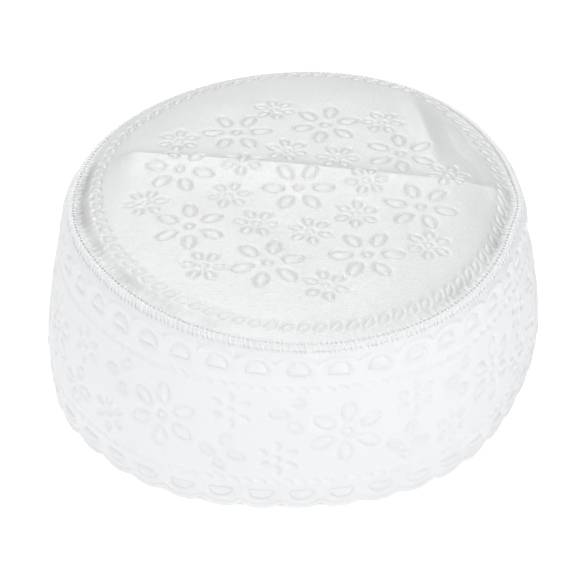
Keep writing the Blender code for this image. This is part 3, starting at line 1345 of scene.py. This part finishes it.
# %% Points of the strip
COLUMNS_PER_SCALLOP = 18
SIDE_STEP = 1.2
SIDE_END = 0.6
EDGE_ROUNDING = 0.45
TOP_ROLL = 0.62
FACE_TOP = BAND_TALL - TOP_ROLL
BAND_SPACING = Spacing(0.62, 0.36, 0.3, 1.7, 0.85)
BAND_LINE_ROWS = (-1.15, -0.5, 0.0, 0.5, 1.15, 2.0, 2.9)
ARC_OFFSETS = (-1.2, -0.7, -0.2, 0.3, 0.9)
NEEDLE_OFFSETS = (-0.5, 0.0, 0.5)
EDGE_OFFSETS = (0.85, 1.4, 1.9, 2.4)
FOLLOW_STEP = 0.5
FOLLOW_STARTS = 0.3
FOLLOW_ENDS = 0.2
SEAM_NET_FROM = 64.0
SEAM_NET = 0.9
SEAM_NET_GAP = 0.5

COLUMNS = STRIP_START + np.arange(SCALLOPS * COLUMNS_PER_SCALLOP + 1) * PITCH / COLUMNS_PER_SCALLOP
# The lower edge over the floor, measured in the strip's drawing
FOOT_DRAWN = foot(COLUMNS) * BAND_TALL / (seam_height(rim_angle(COLUMNS)) * DRAWN)
SIDES = np.arange(FOOT_DRAWN[0] + EDGE_ROUNDING + SIDE_STEP, FACE_TOP - SIDE_END, SIDE_STEP)


def strip_border(rounding):
    """The strip's closed outline: along the bottom, up, back along the top and down."""
    bottom = np.column_stack([COLUMNS, FOOT_DRAWN + rounding])
    top = np.column_stack([COLUMNS, np.full(len(COLUMNS), FACE_TOP)])[::-1]
    up = np.column_stack([np.full(len(SIDES), COLUMNS[-1]), SIDES])
    down = np.column_stack([np.full(len(SIDES), COLUMNS[0]), SIDES[::-1]])
    return np.vstack([bottom, up, top, down])


def follow_rows():
    """Points that follow the arcs, the needle's line and the scalloped edge."""
    end = STRIP_START + STRIP_LENGTH - FOLLOW_ENDS
    x = np.arange(STRIP_START + FOLLOW_STARTS, end, FOLLOW_STEP)
    rows = [np.column_stack([x, arc_height(x) + off]) for off in ARC_OFFSETS]
    rows += [np.column_stack([x, 0 * x + NEEDLE_LINE + off]) for off in NEEDLE_OFFSETS]
    rows += [np.column_stack([x, foot(x) + off]) for off in EDGE_OFFSETS]
    return np.vstack(rows)


def strip_points(border):
    """All points inside the strip's face: pattern, lines round the band, and nets."""
    space, left, right = BAND_SPACING, COLUMNS[0], COLUMNS[-1]
    lines = np.vstack([rows_along(press, BAND_LINE_ROWS, space.row) for press in band_presses])
    fine = thinned(np.vstack([lines, follow_rows()]), space.fine)
    seam_net = net((left, SEAM_NET_FROM), (right, FACE_TOP), SEAM_NET)
    fine = np.vstack([fine, clear_of(seam_net, fine, SEAM_NET_GAP)])
    loose = net((left, 0), (right, FACE_TOP), space.net)
    points = np.vstack([fine, clear_of(loose, fine, space.net_gap)])
    inside = (points[:, 0] > left + space.border) & (points[:, 0] < right - space.border)
    inside &= points[:, 1] > foot(points[:, 0]) + EDGE_ROUNDING + space.border
    inside &= points[:, 1] < FACE_TOP - space.border
    return clear_of(points[inside], border, space.border)


print(len(COLUMNS), "columns along the strip")

# %% The strip's two cloths
FACE_CALM = (0.0, 0.5)
INNER_ROUNDING = 0.6
INNER_FROM = 3
INNER_NET = 7.0
INNER_NET_GAP = 3.0
BAND_WALL = 0.0022
WALL = BAND_WALL * DRAWN
TOP_WALL = BAND_TOP_WALL * DRAWN
WALL_THINS = (0.8, 0.93)


def strip_face():
    """The embossed outer cloth: its drawn points, their places and its triangles."""
    border = strip_border(EDGE_ROUNDING)
    flat, faces = triangles_inside(border, strip_points(border))
    height = relief(flat, band_presses) + lines_height(flat) + band_softness(flat)
    height *= eased(FACE_TOP - flat[:, 1], *FACE_CALM)
    return flat, band_form(flat, 0.0, height), faces


def strip_back():
    """The plain inner cloth, a padded wall behind the face that thins toward the seam."""
    border = strip_border(INNER_ROUNDING)
    loose = net((COLUMNS[0], INNER_FROM), (COLUMNS[-1], FACE_TOP), INNER_NET)
    flat, faces = triangles_inside(border, clear_of(loose, border, INNER_NET_GAP))
    thick = WALL - (WALL - TOP_WALL) * eased(flat[:, 1] / BAND_TALL, *WALL_THINS)
    return flat, band_form(flat, thick), faces


face_flat, face, face_triangles = strip_face()
back_flat, back, back_triangles = strip_back()
print(len(face_triangles), "triangles on the band's face,", len(back_triangles), "inside")

# %% Turning the edges over
# How far in from the face a row under the lower edge lies, and how far over the foot
Turn = namedtuple("Turn", "depth over")
EDGE_TURNS = (Turn(0.10, 0.14), Turn(0.45, 0.0))
ROLL_SHARES = (0.03, 0.1, 0.2, 0.33, 0.48, 0.65, 0.82, 1.0)
ROLL_TOP = 0.5
ROLL_END = 0.25
ALLOWANCE = 3.6  # how far the seam's allowance turns down inside
ROW_DRAWN = 0.4  # millimetres of the flat drawing that each row takes up
COLUMN_ANGLES = rim_angle(COLUMNS)


def own_radius(places):
    """Distance of places from the outlines' middle, in millimetres."""
    return np.linalg.norm(places[:, :2] - TO_ORIGIN * DRAWN, axis=1)


def edge_rows(edge):
    """Rows under the scallops, from the face's edge round to the inner cloth."""
    inner_turns = [Turn(WALL - turn.depth, turn.over) for turn in EDGE_TURNS[::-1]]
    rows = []
    for turn in [*EDGE_TURNS, *inner_turns]:
        ring = band_plan(own_radius(edge) - turn.depth, COLUMN_ANGLES)
        rows.append(np.column_stack([ring, foot(COLUMNS) + turn.over]))
    return rows


def roll_height(share):
    """Height of the rounded top, as a share, at a share of the way over it."""
    if share < ROLL_TOP:
        return math.sqrt(1 - (1 - share / ROLL_TOP) ** 2)
    return 1 - (1 - ROLL_END) * ((share - ROLL_TOP) / (1 - ROLL_TOP)) ** 2


def top_rows(top):
    """Rows over the top edge, and down inside with the seam's allowance."""
    radius = own_radius(top)
    inner = (seam_outline(COLUMN_ANGLES) + BAND_LIP - BAND_TOP_WALL) * DRAWN
    rows = []
    for share in ROLL_SHARES:
        ring = band_plan(radius + (inner - radius) * share, COLUMN_ANGLES)
        rows.append(np.column_stack([ring, top[:, 2] + TOP_ROLL * roll_height(share)]))
    allowance_z = top[:, 2] + TOP_ROLL - ALLOWANCE
    rows.append(np.column_stack([band_plan(inner, COLUMN_ANGLES), allowance_z]))
    return rows


print("the top rolls over in", len(ROLL_SHARES), "rows")

# %% The band's mesh
SAME_PLACE = 1e-6
SAME_DIGITS = 5
BAND_SMOOTH = 60


def welded(flat):
    """For each drawn point, the point that stands for it once the strip's ends meet."""
    stands = np.arange(len(flat))
    left = np.abs(flat[:, 0] - COLUMNS[0]) < SAME_PLACE
    right = np.abs(flat[:, 0] - COLUMNS[-1]) < SAME_PLACE
    starts = {round(flat[k, 1], SAME_DIGITS): k for k in np.nonzero(left)[0]}
    for k in np.nonzero(right)[0]:
        stands[k] = starts[round(flat[k, 1], SAME_DIGITS)]
    return stands


def band_piece():
    """Face, inner cloth and turned edges as one closed shell, its ends welded together."""
    parts, drawings = [face, back], [face_flat, back_flat]
    groups = [face_triangles, back_triangles + len(face)]
    count, numbers = len(COLUMNS), len(face) + len(back)
    edge = np.arange(count)
    top = np.arange(count)[::-1] + count + len(SIDES)
    for ring, rows, side in ((edge, edge_rows(face[edge]), -1), (top, top_rows(face[top]), 1)):
        chain = [ring]
        for k, row in enumerate(rows, start=1):
            parts.append(row)
            drawings.append(np.column_stack([COLUMNS, face_flat[ring, 1] + k * ROW_DRAWN * side]))
            chain.append(np.arange(count) + numbers)
            numbers += count
        chain.append(ring + len(face))
        for one, other in zip(chain, chain[1:]):
            groups.append(np.stack([one[:-1], one[1:], other[1:], other[:-1]], axis=1))
    starts = np.cumsum([0] + [len(drawing) for drawing in drawings[:-1]])
    stands = np.concatenate([welded(drawing) + at for drawing, at in zip(drawings, starts)])
    return cloth_object("embossed_band", np.vstack(parts), groups, np.vstack(drawings), stands)


embossed_band = settle(band_piece(), BAND_SMOOTH)

# %% [markdown]
# ## The threads over the seam
#
# An overlock machine sewed crown and band together. A row of short, slanting threads
# crosses the seam, and draws the cloth in along two fine dark lines: the seam itself and
# the needle's groove in the band. Curves with a bevel would give the threads too, but a
# loop that bends small tubes over both cloths lets each one start and end just inside
# them. All of them are one piece, since none is ever apart from its row.

# %% Where the threads run
THREADS = 296
THREAD_SLANT = 0.6
SLANT_VARIES = 0.8
SLANT_WAVES = (53, 17)
SPREAD = 0.13
SPREAD_WAVES = (37, 91)
BACK_DRAWS_OUT = 0.75  # the share by which the threads start nearer the edge at the back
# On which sheet a thread bends, how far in from the edge or up the strip, how high over
# the cloth, and how far along the thread's own slant
ThreadBend = namedtuple("ThreadBend", "sheet place lift slide")
THREAD_BENDS = (
    ThreadBend("crown", 1.25, -0.26, 0.0),
    ThreadBend("crown", 0.95, 0.0, 0.12),
    ThreadBend("crown", 0.25, 0.22, 0.3),
    ThreadBend("band", 71.95, 0.12, 0.45),
    ThreadBend("band", 71.2, 0.14, 0.6),
    ThreadBend("band", 70.3, 0.08, 0.75),
    ThreadBend("band", 69.6, 0.06, 0.88),
    ThreadBend("band", 69.1, -0.26, 1.0),
)


def thread_point(bend, angle):
    """Places in millimetres of one bend of every thread."""
    first, second = SLANT_WAVES
    slant = THREAD_SLANT * (1 + SLANT_VARIES * np.sin(angle * first) * np.sin(angle * second))
    angle = angle + (bend.slide - 0.5) * slant * TAU / THREADS
    if bend.sheet == "band":
        flat = np.column_stack([strip_x(angle), np.full(len(angle), bend.place)])
        return band_form(flat, 0.0, bend.lift)
    inset = bend.place * (1 - BACK_DRAWS_OUT * round_the_back(angle))
    inner = inside_edge(angle, inset)
    z = crown_form(inner) * DRAWN + crown_softness(inner)[0] - crown_roll(inset)
    return np.column_stack([to_drawing(inner), z + bend.lift])


def overlock_paths():
    """The bent path of every thread, spaced a little unevenly along the seam."""
    at = np.arange(THREADS) * CROWN_ROUND / THREADS
    angle = np.interp(at, CROWN_ALONG, ROUND)
    first, second = SPREAD_WAVES
    spread = SPREAD * TAU / THREADS
    angle = angle + spread * (np.sin(angle * first) + np.sin(angle * second))
    return np.stack([thread_point(bend, angle) for bend in THREAD_BENDS], axis=1)


thread_paths = overlock_paths()
print(f"the threads are {CROWN_ROUND * DRAWN / THREADS:.2f} mm apart")

# %% The threads' mesh
THREAD_RADIUS = 0.24
THREAD_SIDES = 6
THREAD_SMOOTH = 80


def tubes(paths):
    """Tubes along bent paths: their points, quads and the triangles of their ends."""
    run = np.gradient(paths, axis=1)
    run /= np.linalg.norm(run, axis=2)[..., None]
    side = np.cross(run, [0.0, 0.0, 1.0])
    side /= np.linalg.norm(side, axis=2)[..., None]
    upward = np.cross(side, run)
    points, quads, caps = [], [], []
    count, bends = paths.shape[:2]
    for k in range(THREAD_SIDES):
        turn = TAU * k / THREAD_SIDES
        points.append(paths + THREAD_RADIUS * (side * math.cos(turn) + upward * math.sin(turn)))
    points = np.stack(points, axis=2).reshape(-1, 3)
    for thread in range(count):
        start = thread * bends * THREAD_SIDES
        rings = start + np.arange(bends * THREAD_SIDES).reshape(bends, THREAD_SIDES)
        quads += [ring_strip(low, high) for low, high in zip(rings, rings[1:])]
        for ring in (rings[0], rings[-1]):
            caps += [(ring[0], ring[k], ring[k + 1]) for k in range(1, THREAD_SIDES - 1)]
    return points, np.vstack(quads), np.array(caps)


thread_points, thread_quads, thread_caps = tubes(thread_paths)
seam_threads = cloth_object(
    "seam_threads", thread_points, [thread_caps, thread_quads], thread_points[:, :2]
)
settle(seam_threads, THREAD_SMOOTH)

# %% [markdown]
# ## The cloths
#
# Both pieces look like the same white satin. On the crown it lies smooth and keeps a silky
# sheen, drawn out along its threads by an anisotropic highlight. On the band it is pressed
# onto foam, which dulls it. A fine noise, stretched along the flat drawing, gives both
# their threads, since a weave this fine would need millions of faces.

# %% Fine threads in a cloth
SATIN_SLUB = (12.0, 40.0, 1.0)
BAND_SLUB = (16.0, 24.0, 1.0)
SLUB_SCALE = 6.0
SLUB_DETAIL = 2.0


def threads_bump(material, shader, slub, strength, distance):
    """Fine streaks of thread along the cloth's flat drawing, as a bump."""
    nodes, links = material.node_tree.nodes, material.node_tree.links
    drawing = nodes.new("ShaderNodeUVMap")
    drawing.uv_map = "flat_cloth"
    stretch = nodes.new("ShaderNodeMapping")
    stretch.inputs["Scale"].default_value = slub
    streaks = nodes.new("ShaderNodeTexNoise")
    streaks.inputs["Scale"].default_value = SLUB_SCALE
    streaks.inputs["Detail"].default_value = SLUB_DETAIL
    bump = nodes.new("ShaderNodeBump")
    bump.inputs["Strength"].default_value = strength
    bump.inputs["Distance"].default_value = distance
    links.new(drawing.outputs["UV"], stretch.inputs["Vector"])
    links.new(stretch.outputs["Vector"], streaks.inputs["Vector"])
    links.new(streaks.outputs["Fac"], bump.inputs["Height"])
    links.new(bump.outputs["Normal"], shader.inputs["Normal"])
    print(material.name, "has a bump", distance * DRAWN, "mm deep")


# %% [markdown]
# ## The satin
#
# Beside the seam, folds too fine to be built trap light and lie in shade, so that shade is
# painted into the satin as a darker colour in its gathers. A painted map could say where, but
# the crown's points already carry a value for how hollow the cloth is, and that mixes the two
# colours.

# %% The satin
SATIN_COLOUR = (0.72, 0.725, 0.73)
# The darker colour is painted shade for the hollows beside the seam
PAINTED_SHADE_COLOUR = (0.47, 0.47, 0.475)
SATIN_IOR = 1.8
SATIN_DRAWN_OUT = 0.4


def make_satin():
    satin, shader = plain_material("white_satin", SATIN_COLOUR, roughness=0.38, shine=0.6)
    shader.inputs["IOR"].default_value = SATIN_IOR
    shader.inputs["Anisotropic"].default_value = SATIN_DRAWN_OUT
    nodes, links = satin.node_tree.nodes, satin.node_tree.links
    tangent = nodes.new("ShaderNodeTangent")
    tangent.direction_type = "UV_MAP"
    tangent.uv_map = "flat_cloth"
    # Painted shade: where the cloth is hollow beside the seam, the darker colour is mixed into the
    # satin
    painted_gather_shade = nodes.new("ShaderNodeAttribute")
    painted_gather_shade.attribute_name = "painted_gather_shade"
    shade = nodes.new("ShaderNodeMix")
    shade.data_type = "RGBA"
    shade.inputs["A"].default_value = (*SATIN_COLOUR, 1.0)
    shade.inputs["B"].default_value = (*PAINTED_SHADE_COLOUR, 1.0)
    links.new(tangent.outputs["Tangent"], shader.inputs["Tangent"])
    links.new(painted_gather_shade.outputs["Fac"], shade.inputs["Factor"])
    links.new(shade.outputs["Result"], shader.inputs["Base Color"])
    threads_bump(satin, shader, SATIN_SLUB, strength=0.6, distance=0.00045)
    return satin


satin_crown.data.materials.append(make_satin())
print("the crown is dressed in satin")

# %% The band's cloth and the thread
BAND_COLOUR = (0.77, 0.775, 0.785)
THREAD_COLOUR = (0.86, 0.865, 0.875)

band_cloth, band_shader = plain_material("white_band_cloth", BAND_COLOUR, roughness=0.65, shine=0.35)
threads_bump(band_cloth, band_shader, BAND_SLUB, strength=0.12, distance=0.0002)
embossed_band.data.materials.append(band_cloth)
thread, _ = plain_material("white_thread", THREAD_COLOUR, roughness=0.5, shine=0.4)
seam_threads.data.materials.append(thread)
print("the band and the threads are matt")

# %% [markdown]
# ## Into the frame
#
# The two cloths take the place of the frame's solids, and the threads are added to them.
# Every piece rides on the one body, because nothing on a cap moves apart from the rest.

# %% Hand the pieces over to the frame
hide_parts("crown")
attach(satin_crown, "root")
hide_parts("band")
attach(embossed_band, "root")
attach(seam_threads, "root")
print("handed over:", satin_crown.name, embossed_band.name, seam_threads.name)
